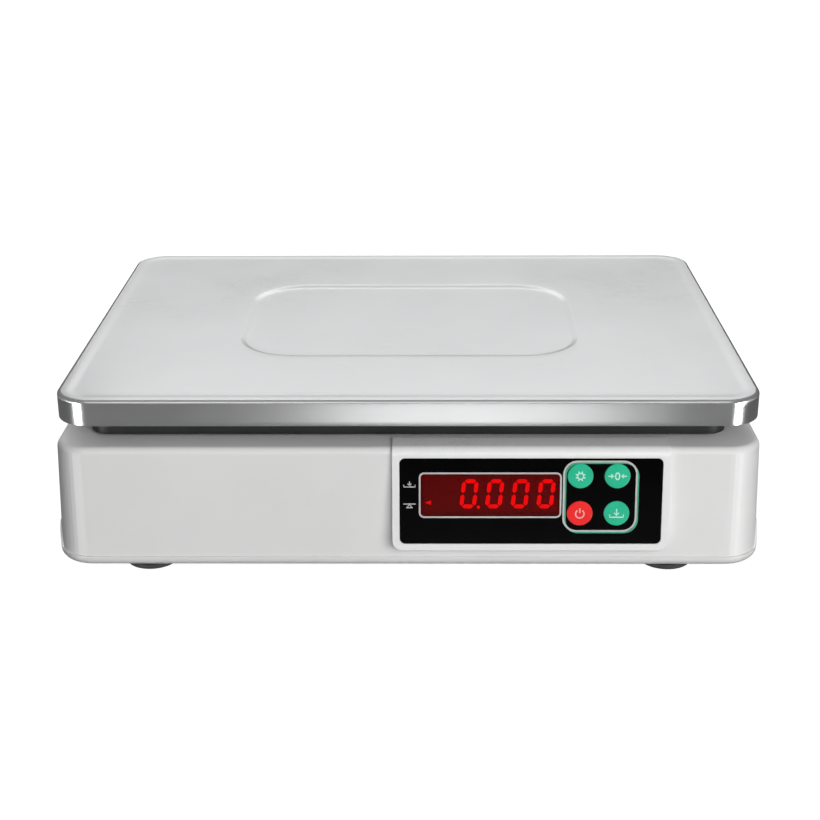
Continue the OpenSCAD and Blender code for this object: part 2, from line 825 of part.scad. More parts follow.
// Stainless pan: a flat tray turned upside down, with a pressed panel in its middle
module weighing_pan() {
    bend = 1.8;
    dish_w = 185;
    dish_d = 129;
    dish_r = 33;
    slope = 4.5;
    color("lightsteelblue") difference() {
        union() {
            difference() {
                translate([0, 0, skirt_z0])
                    soft_topped_block(pan_w, pan_d, pan_corner, pan_skirt, 0, bend);
                translate([0, 0, skirt_z0 - 1])
                    rounded_block(
                        pan_w - 2 * pan_sheet, pan_d - 2 * pan_sheet,
                        pan_corner - pan_sheet, pan_skirt + 1 - pan_sheet
                    );
            }
            translate([0, 0, pan_under]) dish(dish_w, dish_d, dish_r, dish_depth, slope);
        }
        translate([0, 0, pan_top]) dish(dish_w, dish_d, dish_r, dish_depth, slope);
    }
}

// Locating pins welded under the pan
module pan_pins() {
    color("silver") at_pads() translate([0, 0, pan_under - 2.6]) cylinder(h = 2.6, r = pin_r);
}

/* ---- electronics, battery and ports ---- */

// D-shaped outline of the serial port's shell, grown by g
module serial_outline(g = 0) {
    top = 8.2 + g;
    bottom = 7.2 + g;
    half = 4.1 + g;
    polygon([[-bottom, -half], [bottom, -half], [top, half], [-top, half]]);
}

// Main board, on posts beside the battery
module main_board() {
    color("darkgreen") difference() {
        translate([mb_x, mb_y, mb_z]) cube([mb_w, mb_d, mb_t]);
        at_board_screws() translate([0, 0, mb_z - 1]) cylinder(h = 4, r = 1.6);
    }
}

// Parts soldered to the main board: converter, processor, capacitors and three sockets
module board_parts() {
    z = mb_z + mb_t;
    color("dimgray") {
        translate([-80, 88, z]) cube([14, 14, 2]);
        translate([-104, 90, z]) cube([10, 8, 2]);
        translate([-56, 92, z]) cube([16, 10, 6]);
        for (i = [0 : 2]) translate([-100 + i * 11, 112, z]) cube([7, 5, 1.6]);
        for (i = [0, 1]) translate([-40, 76 + i * 12, z]) cylinder(h = 11, r = 4);
        for (x = [-102, -76, -50]) translate([x, mb_y + 3, z]) difference() {
            cube([12, 7, 7]);
            translate([1.2, 1.2, 2]) cube([9.6, 4.6, 10]);
        }
    }
}

module board_screws() {
    color("silver") at_board_screws() translate([0, 0, mb_z + mb_t]) screw_down(1.25, 8, 2.4, 1.6);
}

// Sealed lead-acid battery, lying on its side, with two blade terminals
module battery() {
    color("slategray") translate([battery_x, battery_y, base_z0 + 4]) {
        cube([battery_w, battery_d, battery_h]);
        for (y = [16, 54]) translate([-6, y, 34]) cube([6, 4.8, 0.8]);
    }
}

// Battery door, flush in the underside
module battery_door() {
    color("whitesmoke") translate([door_x, door_y, base_z0]) difference() {
        union() {
            rounded_block(door_w - loose, door_d - loose, 4, 1.5);
            rounded_block(door_w - 8 - loose, door_d - 8 - loose, 3, 3.9);
        }
        translate([0, 0, 1.6]) rounded_block(door_w - 13, door_d - 13, 2, 1.2);
        for (x = [-1, 1]) translate([x * (door_w / 2 - 2.2), 0, 0]) {
            cylinder(h = 10, r = 1.1);
            cylinder(h = 1, r1 = 2 + slip, r2 = 1.1);
        }
        // finger ribs
        for (i = [-3 : 3]) translate([i * 4, door_d / 2 - 10, 0]) cube([1.5, 10, 0.8], center = true);
    }
}

module door_screws() {
    color("silver") for (x = [-1, 1]) translate([door_x + x * (door_w / 2 - 2.2), door_y, base_z0]) {
        cylinder(h = 5, r = 0.95);
        cylinder(h = 1, r1 = 2, r2 = 0.95);
    }
}

// Power inlet: square body with a round socket and a centre pin
module dc_jack() {
    body_d = 14;
    color("dimgray") translate([jack_x, back_y - 0.7, port_z - 0.8]) difference() {
        translate([-4.5, -body_d, -5.5]) cube([9, body_d, 11]);
        rotate([90, 0, 0]) difference() {
            translate([0, 0, -1]) cylinder(h = 10.5, r = 2.8);
            translate([0, 0, 1]) cylinder(h = 12, r = 1.05);
        }
    }
}

// Nine-way serial port: flange inside the wall, shell through it, contact holes in its face
module serial_port() {
    color("silver") translate([serial_x, back_y - wall - 1.4, port_z]) {
        difference() {
            union() {
                translate([0, -0.4, 0]) cube([31, 0.8, 12.5], center = true);
                rotate([90, 0, 0]) mirror([0, 0, 1]) linear_extrude(6) serial_outline(0);
                translate([0, -5.8, -1.9]) cube([19, 10, 8.8], center = true);
            }
            for (x = [-1, 1]) translate([x * jack_screw_gap / 2, 0, 0]) rotate([90, 0, 0])
                cylinder(h = 10, r = 1.5 + slip, center = true);
            for (i = [0 : 4]) translate([(i - 2) * 2.77, 4, 1.42]) rotate([90, 0, 0])
                cylinder(h = 5, r = 0.6, center = true);
            for (i = [0 : 3]) translate([(i - 1.5) * 2.77, 4, -1.42]) rotate([90, 0, 0])
                cylinder(h = 5, r = 0.6, center = true);
        }
    }
}

// Hexagonal jack screws beside the serial port, tapped for the plug's own screws
module port_jack_screws() {
    color("silver") for (x = [-1, 1])
        translate([serial_x + x * jack_screw_gap / 2, back_y - 0.9, port_z]) rotate([-90, 0, 0]) difference() {
            union() {
                cylinder(h = 5, r = 2.7, $fn = 6);
                translate([0, 0, -5]) cylinder(h = 6, r = 1.5);
            }
            translate([0, 0, -3]) cylinder(h = 9, r = 1.1);
        }
}

// Round spirit level let into the cover
module level_housing() {
    color("black") translate([level_x, level_y, base_z1 - 1.2]) difference() {
        cylinder(h = 5.2, r = level_r);
        translate([0, 0, 1]) cylinder(h = 10, r = level_r - 1.2);
    }
}

module level_vial() {
    color("palegreen") translate([level_x, level_y, base_z1 - 0.2]) cylinder(h = 4, r = level_r - 1.25);
}

// Signal cable from the load cell's fixed end to the main board
module cell_cable() {
    r = 1.8;
    x = -70;
    y = mb_y + 6.5;
    color("gray") wire([
        [-cell_l / 2 - 0.2 - r, 8, cell_z + 8], [-72, 20, floor_z + 16], [-71, 44, floor_z + 16],
        [x, y - 8, mb_z + 12], [x, y, mb_z + 14], [x, y, mb_z + mb_t + 4.5]
    ], r);
}

// Flat cable from the display board back to the main board
module display_cable() {
    w = 12;
    t = 1;
    x0 = -6;
    x1 = -102;
    front_y = -115;
    rear_y = mb_y - 9;
    run_z = floor_z + 7;
    top_z = mb_z + mb_t + 9;
    color("lightgray") {
        translate([x0, front_y, run_z]) cube([w, t, panel_z - run_z]);
        translate([x0, front_y - 10.2, panel_z - t]) cube([w, 10.2 + t, t]);
        translate([x1, front_y, run_z]) cube([x0 - x1 + w, w, t]);
        translate([x1, front_y, run_z]) cube([w, rear_y - front_y, t]);
        translate([x1, rear_y, run_z]) cube([w, t, top_z - run_z]);
        translate([x1, rear_y, top_z]) cube([w, 16, t]);
    }
}

// Leads from the battery's blades to the main board's nearest socket
module battery_leads() {
    r = 1.2;
    z = base_z0 + 38.4;
    socket_y = mb_y + 6.8;
    color("firebrick") for (i = [0, 1]) {
        y = battery_y + 18.4 + i * 38;
        x = -41.6 - i * 4.5;
        wire([
            [battery_x - 7.4, y, z], [battery_x - 16, y, z], [x, socket_y, z], [x, socket_y, mb_z + mb_t + 3.8]
        ], r);
    }
}

/* ---- feet ---- */

// Brass threaded inserts in the lower shell's foot bosses
module foot_inserts() {
    color("goldenrod") at_feet() translate([0, 0, insert_z]) difference() {
        union() {
            cylinder(h = boss_top - insert_z, r = insert_r);
            translate([0, 0, boss_top - insert_z]) cylinder(h = 1, r = insert_r + 1.5);
        }
        translate([0, 0, -1]) cylinder(h = 40, r = stud_r + slip);
    }
}

// Rubber pad that stays still on the floor, with the swivel pin it turns on
module foot_pad(x, y) {
    chamfer = 0.8;
    color("black") translate([x * foot_x, y * foot_y, 0]) {
        cylinder(h = chamfer, r1 = foot_d / 2 - chamfer, r2 = foot_d / 2);
        translate([0, 0, chamfer]) cylinder(h = foot_pad_h - chamfer, r = foot_d / 2);
        cylinder(h = foot_pad_h + 2.6, r = 2.5);
    }
}

// Knurled wheel and its stud, which screws up into the insert
module foot_screw(x, y) {
    notches = 24;
    wheel_z = foot_pad_h + 0.1;
    wheel_r = foot_d / 2 - 0.3;
    color("black") translate([x * foot_x, y * foot_y, 0]) difference() {
        union() {
            translate([0, 0, wheel_z]) cylinder(h = base_z0 - 0.3 - wheel_z, r = wheel_r);
            translate([0, 0, wheel_z]) cylinder(h = stud_top - wheel_z, r = stud_r);
        }
        translate([0, 0, 1]) cylinder(h = foot_pad_h + 2, r = 2.5 + slip);
        for (i = [1 : notches]) rotate([0, 0, i * 360 / notches])
            translate([wheel_r + 0.4, 0, 1]) cylinder(h = base_z0 - 0.4, r = 1.1, $fn = 24);
    }
}

module foot_pad_fl() { foot_pad(-1, -1); }
module foot_pad_fr() { foot_pad(1, -1); }
module foot_pad_bl() { foot_pad(-1, 1); }
module foot_pad_br() { foot_pad(1, 1); }
module foot_screw_fl() { foot_screw(-1, -1); }
module foot_screw_fr() { foot_screw(1, -1); }
module foot_screw_bl() { foot_screw(-1, 1); }
module foot_screw_br() { foot_screw(1, 1); }

bottom_shell();
top_cover();
cover_screws();
display_bezel();
bezel_screws();
front_panel();
display_window();
led_module();
led_segments();
display_board();
display_board_screws();
key_switches();
base_plate();
base_plate_screws();
cell_spacer();
load_cell();
cell_screws();
overload_stops();
main_board();
board_parts();
board_screws();
battery();
battery_door();
door_screws();
dc_jack();
serial_port();
port_jack_screws();
level_housing();
level_vial();
cell_cable();
display_cable();
battery_leads();
foot_inserts();
load_arm();
arm_screws();
pan_carrier();
carrier_screws();
pan_pads();
weighing_pan();
pan_pins();
key_set();
key_zero();
key_power();
key_tare();
plunger_set();
plunger_zero();
plunger_power();
plunger_tare();
foot_pad_fl();
foot_pad_fr();
foot_pad_bl();
foot_pad_br();
foot_screw_fl();
foot_screw_fr();
foot_screw_bl();
foot_screw_br();
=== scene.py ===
"""Platform shipping scale: its finishes and fine pieces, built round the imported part.

The file follows the scale as it is put together. Blender works in metres; the sizes in each section are in
millimetres and become metres in surface().
"""

import math

import bpy
import numpy as np
from mathutils import Matrix, Vector


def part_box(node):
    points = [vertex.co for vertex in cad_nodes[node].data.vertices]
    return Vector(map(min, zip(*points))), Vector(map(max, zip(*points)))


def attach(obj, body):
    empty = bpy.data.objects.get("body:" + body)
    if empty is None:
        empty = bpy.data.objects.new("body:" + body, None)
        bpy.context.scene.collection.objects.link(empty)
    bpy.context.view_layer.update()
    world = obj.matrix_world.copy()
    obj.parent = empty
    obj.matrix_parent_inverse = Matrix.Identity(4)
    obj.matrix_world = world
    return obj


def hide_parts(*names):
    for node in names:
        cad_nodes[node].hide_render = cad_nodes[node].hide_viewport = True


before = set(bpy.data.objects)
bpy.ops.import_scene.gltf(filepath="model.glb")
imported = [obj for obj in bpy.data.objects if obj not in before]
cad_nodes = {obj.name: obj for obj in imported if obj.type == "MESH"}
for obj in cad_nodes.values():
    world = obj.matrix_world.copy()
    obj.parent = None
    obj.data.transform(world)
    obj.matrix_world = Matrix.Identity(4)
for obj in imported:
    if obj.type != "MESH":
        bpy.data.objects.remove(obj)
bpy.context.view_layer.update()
MM = 0.001

# ---- the place it stands in ----------------------------------------------------------------------------------------
# A white counter that runs far back, lit by soft boxes: a large one in front on the right, a broad one high behind for
# the steel's sheen, a low one that the pan's skirt mirrors, two cards that its corners mirror, and a fill and a sheen
# for whoever stands behind it. The counter itself
# throws no light, so that shadows stay under the edges.


def plain_node(nodes, kind, **settings):
    """Adds a shader node and sets its properties or the values of its input sockets by name."""
    node = nodes.new(kind)
    for name, value in settings.items():
        if name in node.inputs:
            node.inputs[name].default_value = value
        else:
            setattr(node, name, value)
    return node


def counter_top(half=30.0):
    """Flat square on the floor plane, half metres from its middle to each side."""
    mesh = bpy.data.meshes.new("counter")
    mesh.from_pydata([(-half, -half, 0), (half, -half, 0), (half, half, 0), (-half, half, 0)], [], [(0, 1, 2, 3)])
    top = bpy.data.objects.new("counter", mesh)
    bpy.context.scene.collection.objects.link(top)
    paint = bpy.data.materials.new("counter_white")
    paint.use_nodes = True
    shader = paint.node_tree.nodes["Principled BSDF"]
    shader.inputs["Base Color"].default_value = (0.35, 0.35, 0.35, 1)
    shader.inputs["Roughness"].default_value = 0.9
    shader.inputs["Emission Color"].default_value = (1, 1, 1, 1)
    shader.inputs["Emission Strength"].default_value = 0.9
    mesh.materials.append(paint)
    top.visible_glossy = False
    top.visible_diffuse = False
    top.visible_shadow = False
    return top


counter_top()


def studio_surround(levels):
    """World whose grey follows the height of the direction seen, as a share of the radius: each pair is that height and
    the grey there, with even runs between."""
    world = bpy.data.worlds.new("studio")
    bpy.context.scene.world = world
    world.use_nodes = True
    nodes, links = world.node_tree.nodes, world.node_tree.links
    seen = nodes.new("ShaderNodeTexCoord")
    parts = nodes.new("ShaderNodeSeparateXYZ")
    links.new(seen.outputs["Generated"], parts.inputs["Vector"])
    height = nodes.new("ShaderNodeMapRange")
    height.inputs["From Min"].default_value, height.inputs["From Max"].default_value = -1, 1
    links.new(parts.outputs["Z"], height.inputs["Value"])
    ramp = nodes.new("ShaderNodeValToRGB")
    stops = ramp.color_ramp.elements
    while len(stops) < len(levels):
        stops.new(0.5)
    for stop, (rise, grey) in zip(stops, levels):
        stop.position = (rise + 1) / 2
        stop.color = (grey, grey, grey, 1)
    links.new(height.outputs["Result"], ramp.inputs["Fac"])
    links.new(ramp.outputs["Color"], nodes["Background"].inputs["Color"])
    nodes["Background"].inputs["Strength"].default_value = 1.0


studio_surround([(-1, 0.15), (-0.2, 0.15), (-0.12, 0.03), (0.12, 0.03), (0.22, 0.20), (1, 0.30)])


def soft_box(name, place, aim, width, height, power, hidden_from=None):
    """Rectangular area light at place, facing the point aim, all in metres. hidden_from, glossy or diffuse, names the
    kind of reflection that it leaves out."""
    lamp = bpy.data.lights.new(name, "AREA")
    lamp.shape = "RECTANGLE"
    lamp.size, lamp.size_y = width, height
    lamp.energy = power
    light = bpy.data.objects.new(name, lamp)
    light.location = place
    light.rotation_euler = (Vector(aim) - Vector(place)).to_track_quat("-Z", "Y").to_euler()
    if hidden_from:
        setattr(light, "visible_" + hidden_from, False)
    bpy.context.scene.collection.objects.link(light)


PAN_HEIGHT_AIM, BASE_AIM = (0, 0, 0.09), (0, 0, 0.04)
soft_box("front_right", (0.8, -1.9, 0.7), BASE_AIM, 1.5, 1.1, 33, hidden_from="glossy")
soft_box("back_fill", (-0.7, 1.9, 0.5), BASE_AIM, 1.5, 1.1, 32, hidden_from="glossy")
soft_box("front_sheen", (0, -1.5, 0.95), PAN_HEIGHT_AIM, 1.4, 0.8, 5, hidden_from="diffuse")
soft_box("high_behind", (0.0, 1.5, 1.2), PAN_HEIGHT_AIM, 1.3, 0.9, 6.2)
soft_box("skirt_strip", (0.09, -2.1, -0.75), (0.02, 0, 0.09), 0.55, 0.45, 3.0, hidden_from="diffuse")
for side in (-1, 1):
    soft_box("rim_card", (side * 1.5, -1.45, -0.5), PAN_HEIGHT_AIM, 0.5, 1.2, 34, hidden_from="diffuse")

view_settings = bpy.context.scene.view_settings
view_settings.view_transform = "Standard"
view_settings.look = "None"

# ---- camera --------------------------------------------------------------------------------------------------------
# Stands a short arm's length in front, a little above the pan, with a short telephoto lens.

pan_low, pan_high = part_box("weighing_pan")
CAMERA_RIGHT, CAMERA_OUT, CAMERA_UP = 0.010, 0.817, 0.268
pitch, yaw, roll = math.radians(21.66), math.radians(-0.71), math.radians(0.29)
ahead = Vector((math.sin(yaw) * math.cos(pitch), math.cos(yaw) * math.cos(pitch), -math.sin(pitch)))
level_right = Vector((math.cos(yaw), -math.sin(yaw), 0))
down = ahead.cross(level_right)
right = level_right * math.cos(roll) + down * math.sin(roll)
up = level_right * math.sin(roll) - down * math.cos(roll)
lens = bpy.data.cameras.new("camera")
lens.sensor_width = 36
lens.lens = 66.4
lens.clip_start, lens.clip_end = 0.02, 100
camera = bpy.data.objects.new("camera", lens)
camera.matrix_world = Matrix((
    (right.x, up.x, -ahead.x, CAMERA_RIGHT),
    (right.y, up.y, -ahead.y, -CAMERA_OUT),
    (right.z, up.z, -ahead.z, pan_high.z + CAMERA_UP),
    (0, 0, 0, 1),
))
bpy.context.scene.collection.objects.link(camera)
bpy.context.scene.camera = camera

# ---- weighing pan --------------------------------------------------------------------------------------------------
# One sheet of stainless steel, pressed into a shallow tray and used upside down. A rim 7 mm wide stands a hair proud
# of the middle, and a sunk panel stiffens it. The sheet is brushed from side to side and lifts straight off.


def ring_outline(half_w, half_d, radius, arc=14, side=10):
    """Rounded rectangles, one for each row: at each corner the corner's centre plus radius times (cos, sin) of an
    angle that runs through 90 degrees, and even steps along the straight side from there to the next corner."""
    half_w, half_d, radius = (np.asarray(v, float)[..., None] for v in (half_w, half_d, radius))
    quarter = np.linspace(0, np.pi / 2, arc + 1)
    corners = []
    for turn, (sx, sy) in enumerate(((1, 1), (-1, 1), (-1, -1), (1, -1))):
        angle = quarter + turn * np.pi / 2
        corners.append(np.stack([
            sx * (half_w - radius) + radius * np.cos(angle), sy * (half_d - radius) + radius * np.sin(angle)
        ], -1))
    share = np.linspace(0, 1, side + 1)[1:-1][:, None]
    parts = []
    for turn in range(4):
        here, there = corners[turn], corners[(turn + 1) % 4]
        parts += [here, here[..., -1:, :] * (1 - share) + there[..., :1, :] * share]
    return np.concatenate(parts, -2)


def surface(name, rows, wrap=True, caps=(False, False), uv=None):
    """Mesh of a grid of points in millimetres: quads join each row to the next, the last column joins the first when
    it wraps, and a cap closes an end row with a fan to its middle. uv has one more column than the rows when it wraps."""
    rows = np.asarray(rows, float)
    count, around = rows.shape[:2]
    spans = around if wrap else around - 1
    i, j = np.meshgrid(np.arange(count - 1), np.arange(spans), indexing="ij")
    k = (j + 1) % around
    quads = np.stack([i * around + j, i * around + k, (i + 1) * around + k, (i + 1) * around + j], -1).reshape(-1, 4)
    points = rows.reshape(-1, 3)
    faces = quads.tolist()
    for end, row in ((0, 0), (1, count - 1)):
        if caps[end]:
            ring = row * around + np.arange(around)
            nxt = np.roll(ring, -1)
            hub = np.full(around, len(points))
            fan = np.stack([hub, nxt, ring] if end == 0 else [hub, ring, nxt], -1)
            points = np.vstack([points, rows[row].mean(0)])
            faces += fan.tolist()
    mesh = bpy.data.meshes.new(name)
    mesh.from_pydata((points * MM).tolist(), [], faces)
    if uv is not None:
        uv = np.asarray(uv, float)
        corner = np.stack([uv[i, j], uv[i, j + 1], uv[i + 1, j + 1], uv[i + 1, j]], 2).reshape(-1, 2)
        loops = np.zeros((len(mesh.loops), 2))
        loops[: len(corner)] = corner
        mesh.uv_layers.new(name="along").data.foreach_set("uv", loops.astype(np.float32).ravel())
    mesh.polygons.foreach_set("use_smooth", np.ones(len(mesh.polygons), bool))
    mesh.update()
    piece = bpy.data.objects.new(name, mesh)
    bpy.context.scene.collection.objects.link(piece)
    return piece


def crease(piece, degrees=32):
    """Keeps every edge that turns by more than this many degrees crisp in the shading."""
    piece.data.set_sharp_from_angle(angle=math.radians(degrees))
    return piece


def arc_rows(start, end, steps):
    """Sines and cosines of even steps of an angle in degrees, for a rounded edge."""
    angle = np.radians(np.linspace(start, end, steps))
    return np.sin(angle), np.cos(angle)


def pan_sheet():
    """Rows of rounded rectangles from the middle of the top, over the rim, down the skirt, back up inside and in to the
    middle of the underside. Each row has its own half sizes, corner radius and height."""
    top, foot = pan_high.z / MM, pan_low.z / MM
    half_w, half_d = pan_high.x / MM, pan_high.y / MM
    corner, bend, sheet, lip = 18.0, 1.8, 1.0, 0.25
    sunk = 1.0
    floor_w, floor_d, floor_r, slope_run = 88.6, 60.6, 28, 3.8
    rows = []

    def ring(inset, height, radius=None):
        rows.append((half_w - inset, half_d - inset, corner - inset if radius is None else radius, height))

    def dish(share_w, share_d, radius, height):
        rows.append((share_w, share_d, radius, height))

    field = top - lip
    for share in (0.02, 0.3, 0.6, 0.85, 0.97):
        dish(87.4 * share, 59.4 * share, 28 * share, field - sunk)
    slope = np.array([0, 0.06, 0.12, 0.2, 0.5, 0.8, 0.88, 0.94, 1])
    fall = np.array([1, 0.985, 0.955, 0.88, 0.5, 0.12, 0.045, 0.015, 0])
    for s, drop in zip(slope, fall):
        dish(floor_w + slope_run * s, floor_d + slope_run * s, floor_r + slope_run * s, field - sunk * drop)
    for s in np.linspace(0.06, 0.94, 9):
        dish(93 + s * (half_w - 12 - 93), 65 + s * (half_d - 12 - 65), 33 - s * 23, field)
    for s in np.linspace(0, 1, 7):
        ring(9.5 - s * 5.5, field + lip * (0.5 - 0.5 * np.cos(np.pi * s)), max(corner - 9.5 + s * 5.5, 5))
    ring(2.4, top - 0.01)
    sine, cosine = arc_rows(0, 90, 9)
    for s, c in zip(sine, cosine):
        ring(bend - bend * s, top - bend + bend * c)
    for s in np.linspace(0, 1, 5)[1:]:
        ring(0, top - bend - s * (top - bend - foot - 0.35))
    ring(0.12, foot + 0.1)
    ring(0.4, foot)
    ring(sheet - 0.4, foot)
    ring(sheet - 0.12, foot + 0.1)
    ring(sheet, foot + 0.4)
    under = top - sheet
    ring(sheet, under - 2)
    for s, c in zip(*arc_rows(0, 90, 5)):
        ring(sheet + 0.8 - 0.8 * c, under - 0.8 + 0.8 * s)
    ring(12, under, 10)
    dish(93, 65, 33, under)
    for s, drop in zip(slope[::-1], fall[::-1]):
        dish(87.4 + 4.4 * s, 59.4 + 4.4 * s, 28 + 4.4 * s, under - sunk * drop)
    dish(60, 40, 18, under - sunk)
    dish(2, 1.2, 0.5, under - sunk)
    w, d, r, z = np.array(rows).T
    outline = ring_outline(w, d, r)
    points = np.concatenate([outline, np.broadcast_to(z[:, None, None], outline.shape[:2] + (1,))], -1)
    closed = np.concatenate([points, points[:, :1]], 1)
    across = np.linalg.norm(np.diff(closed, axis=1), axis=-1)
    round_it = np.concatenate([np.zeros((len(rows), 1)), np.cumsum(across, 1)], 1)
    flat = z[:, None] > top - bend - 0.001
    flat = flat | (z[:, None] > under - 1.2) & (w[:, None] < half_w - 1.9)
    u = np.where(flat, closed[..., 0], round_it)
    v = np.where(flat, closed[..., 1], np.broadcast_to(z[:, None], round_it.shape))
    return points, np.stack([u, v], -1) * MM


def tone(nodes, links, factor, low, high):
    """Colour that runs from low to high with a factor between 0 and 1."""
    ramp = nodes.new("ShaderNodeValToRGB")
    ramp.color_ramp.elements[0].color = (*low, 1)
    ramp.color_ramp.elements[1].color = (*high, 1)
    ramp.color_ramp.elements[0].position, ramp.color_ramp.elements[1].position = 0.3, 0.7
    links.new(factor, ramp.inputs["Fac"])
    return ramp.outputs["Color"]


def finish(name, low, high, rough, grain, height, metallic=0.0, broad=25.0, stretch=(1, 1, 1), sockets=None, edge=0.0,
           painted_seam_shade=0.0):
    """Material on Object coordinates: colour drifts from low to high and roughness through the pair rough with a broad
    noise (broad cycles a metre), and a fine noise (grain cycles a metre, stretched) lifts the surface by height metres.
    edge softens hard edges by that radius in metres, and the last argument paints shade into the colour: it darkens
    what lies deeper than that many metres in a seam or corner."""
    material = bpy.data.materials.new(name)
    material.use_nodes = True
    nodes, links = material.node_tree.nodes, material.node_tree.links
    shader = nodes["Principled BSDF"]
    shader.inputs["Metallic"].default_value = metallic
    for socket, value in (sockets or {}).items():
        shader.inputs[socket].default_value = value
    place = nodes.new("ShaderNodeTexCoord")
    wide = plain_node(nodes, "ShaderNodeTexNoise", Scale=broad, Detail=4.0, Roughness=0.6)
    links.new(place.outputs["Object"], wide.inputs["Vector"])
    colour = tone(nodes, links, wide.outputs["Fac"], low, high)
    # Painted shade: ambient occlusion darkens the colour in seams and corners, where shade falls.
    if painted_seam_shade:
        open_to_air = plain_node(nodes, "ShaderNodeAmbientOcclusion", samples=8, Distance=painted_seam_shade)
        seam_shade_mix = plain_node(nodes, "ShaderNodeMixRGB", blend_type="MULTIPLY", Fac=1.0)
        links.new(colour, seam_shade_mix.inputs["Color1"])
        links.new(tone(nodes, links, open_to_air.outputs["AO"], (0.25, 0.24, 0.23), (1, 1, 1)), seam_shade_mix.inputs["Color2"])
        colour = seam_shade_mix.outputs["Color"]
    links.new(colour, shader.inputs["Base Color"])
    spread = nodes.new("ShaderNodeMapRange")
    spread.inputs["From Min"].default_value, spread.inputs["From Max"].default_value = 0.3, 0.7
    spread.inputs["To Min"].default_value, spread.inputs["To Max"].default_value = rough
    fine_place = nodes.new("ShaderNodeMapping")
    fine_place.inputs["Scale"].default_value = stretch
    links.new(place.outputs["Object"], fine_place.inputs["Vector"])
    fine = plain_node(nodes, "ShaderNodeTexNoise", Scale=grain, Detail=3.0, Roughness=0.65)
    links.new(fine_place.outputs["Vector"], fine.inputs["Vector"])
    mix = plain_node(nodes, "ShaderNodeMath", operation="ADD")
    half_fine = plain_node(nodes, "ShaderNodeMath", operation="MULTIPLY")
    half_fine.inputs[1].default_value = 0.5
    half_wide = plain_node(nodes, "ShaderNodeMath", operation="MULTIPLY")
    half_wide.inputs[1].default_value = 0.5
    links.new(fine.outputs["Fac"], half_fine.inputs[0])
    links.new(wide.outputs["Fac"], half_wide.inputs[0])
    links.new(half_fine.outputs[0], mix.inputs[0])
    links.new(half_wide.outputs[0], mix.inputs[1])
    links.new(mix.outputs[0], spread.inputs["Value"])
    links.new(spread.outputs["Result"], shader.inputs["Roughness"])
    bump = nodes.new("ShaderNodeBump")
    bump.inputs["Strength"].default_value = 1.0
    bump.inputs["Distance"].default_value = height
    links.new(fine.outputs["Fac"], bump.inputs["Height"])
    if edge:
        soft = plain_node(nodes, "ShaderNodeBevel", samples=4, Radius=edge)
        links.new(soft.outputs["Normal"], bump.inputs["Normal"])
    links.new(bump.outputs["Normal"], shader.inputs["Normal"])
    return material


def dress(material, *names):
    """Puts a material on these CAD nodes."""
    for name in names:
        for held in cad_nodes[name].material_slots:
            held.material = material


def brushed_sheet(name, low, high, rough, along, fine_across):
    """Brushed metal: a noise stretched along the brushing gives the scratches, and the reflection spreads across them."""
    metal = finish(name, low, high, rough, fine_across, 1.2e-6, metallic=1.0, broad=9.0, stretch=along,
                   sockets={"Anisotropic": 0.8, "Anisotropic Rotation": 0.25})
    nodes, links = metal.node_tree.nodes, metal.node_tree.links
    lay = plain_node(nodes, "ShaderNodeTangent", direction_type="UV_MAP", uv_map="along")
    links.new(lay.outputs["Tangent"], nodes["Principled BSDF"].inputs["Tangent"])
    return metal


pan_points, pan_uv = pan_sheet()
pan = surface("steel_pan", pan_points, caps=(True, True), uv=pan_uv)
pan.data.materials.append(brushed_sheet(
    "brushed_pan_steel", (0.66, 0.665, 0.67), (0.72, 0.725, 0.73), (0.26, 0.34), (0.02, 1, 1), 2600
))
crease(pan, 40)
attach(pan, "pan")
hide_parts("weighing_pan")

# ---- white base ----------------------------------------------------------------------------------------------------
# Two injection-moulded ABS shells with a fine spark-eroded satin on the outside, screwed together from below, and the
# battery door of the same plastic let into the underside.

shell_white = finish(
    "satin_white_plastic", (0.80, 0.80, 0.795), (0.835, 0.835, 0.83), (0.40, 0.52), 2400, 1.0e-5, broad=14.0,
    sockets={"Specular IOR Level": 0.42}, edge=0.0004
)
dress(shell_white, "bottom_shell", "top_cover", "battery_door")

# ---- screws and plated parts ---------------------------------------------------------------------------------------
# Zinc-plated steel with the uneven cloud of a barrel finish, and the black oxide of the high-strength screws.

zinc_plate = finish(
    "barrel_zinc", (0.50, 0.50, 0.47), (0.64, 0.64, 0.62), (0.28, 0.48), 900, 6e-6, metallic=1.0, broad=120.0
)
dress(zinc_plate, "cover_screws", "bezel_screws", "display_board_screws", "base_plate", "base_plate_screws",
      "board_screws", "door_screws", "carrier_screws", "serial_port", "port_jack_screws", "pan_pins")
black_oxide = finish(
    "oiled_black_oxide", (0.035, 0.035, 0.037), (0.07, 0.068, 0.066), (0.32, 0.5), 1200, 5e-6, metallic=0.7,
    broad=200.0
)
dress(black_oxide, "cell_screws", "overload_stops", "arm_screws")

# ---- display frame and black panel ---------------------------------------------------------------------------------
# A glossier white moulding frames a sheet of smoked acrylic, printed black from behind, that leans back at the top.

# The frame's colour carries painted shade in its seams, a dark line where it meets the cover.
dress(finish(
    "frame_white_plastic", (0.90, 0.90, 0.90), (0.92, 0.92, 0.918), (0.24, 0.34), 1500, 4e-6, broad=30.0,
    sockets={"Coat Weight": 0.25, "Coat Roughness": 0.15}, edge=0.0006, painted_seam_shade=0.001
), "display_bezel")
dress(finish(
    "printed_black_acrylic", (0.0006, 0.0006, 0.0007), (0.0014, 0.0014, 0.0016), (0.05, 0.10), 500, 2e-6, broad=60.0,
    sockets={"Specular IOR Level": 0.3}, edge=0.0002
), "front_panel")

PANEL_SLAB, PANEL_LEAN = 1.2, math.radians(8)
panel_low, panel_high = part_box("front_panel")
outward = np.array([0, -math.cos(PANEL_LEAN), math.sin(PANEL_LEAN)])
upslope = np.array([0, math.sin(PANEL_LEAN), math.cos(PANEL_LEAN)])
panel_middle = np.array((panel_low + panel_high) / 2) / MM + outward * PANEL_SLAB / 2


